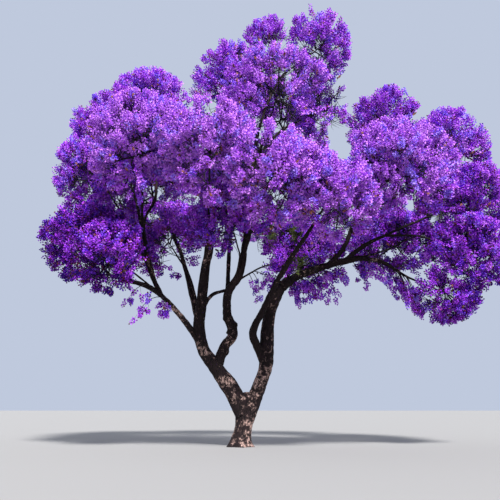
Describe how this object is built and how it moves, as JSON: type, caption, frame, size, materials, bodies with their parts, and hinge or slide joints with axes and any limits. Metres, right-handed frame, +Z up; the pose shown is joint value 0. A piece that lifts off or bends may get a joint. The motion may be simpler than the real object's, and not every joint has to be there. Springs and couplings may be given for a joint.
{
  "type": "jacaranda tree",
  "caption": "Spreading shade tree in full violet blossom, with a short leaning trunk that forks low and a wide rounded crown of separate blossom masses.",
  "frame": {"origin": "middle of the flat cut under the trunk, at ground level", "axes": "+Z up, and -Y towards the picture's viewer, with +X to their right"},
  "size_m": [14.8771, 11.0316, 14.5697],
  "materials": {
    "bark": "dark brown bark with fine upright fissures, matt",
    "blossom": "violet blossom, matt"
  },
  "bodies": {
    "root": {"trunk": "bark", "left_limb": "bark", "right_limb": "bark", "middle_limb": "bark", "arch_bough": "bark", "looped_stem": "bark", "cross_branch": "bark", "left_bough": "bark", "left_riser": "bark", "left_arm": "bark", "far_left_bough": "bark", "left_front_bough": "bark", "low_left_front_bough": "bark", "low_inner_left_bough": "bark", "middle_front_left_bough": "bark", "back_left_bough": "bark", "back_middle_bough": "bark", "middle_front_bough": "bark", "inner_low_bough": "bark", "under_middle_bough": "bark", "top_front_bough": "bark", "top_right_bough": "bark", "top_back_bough": "bark", "top_middle_bough": "bark", "weeping_bough": "bark", "right_riser": "bark", "right_crest_bough": "bark", "right_front_bough": "bark", "right_bough": "bark", "low_right_bough": "bark", "low_right_back_bough": "bark", "back_right_bough": "bark", "blossom_top_left": "blossom", "blossom_top_peak": "blossom", "blossom_top_middle": "blossom", "blossom_top_right": "blossom", "blossom_top_front": "blossom", "blossom_top_back": "blossom", "blossom_middle_front": "blossom", "blossom_middle_front_left": "blossom", "blossom_right_inner_front": "blossom", "blossom_back_middle": "blossom", "blossom_inner_low": "blossom", "blossom_under_middle": "blossom", "blossom_low_left": "blossom", "blossom_low_left_front": "blossom", "blossom_low_inner_left": "blossom", "blossom_far_left": "blossom", "blossom_left_front": "blossom", "blossom_left_crest": "blossom", "blossom_left_shoulder": "blossom", "blossom_back_left": "blossom", "blossom_right_crest": "blossom", "blossom_right_shoulder": "blossom", "blossom_right_front": "blossom", "blossom_far_right": "blossom", "blossom_low_right": "blossom", "blossom_low_right_back": "blossom", "blossom_weeping_right": "blossom", "blossom_back_right": "blossom"}
  },
  "joints": []
}
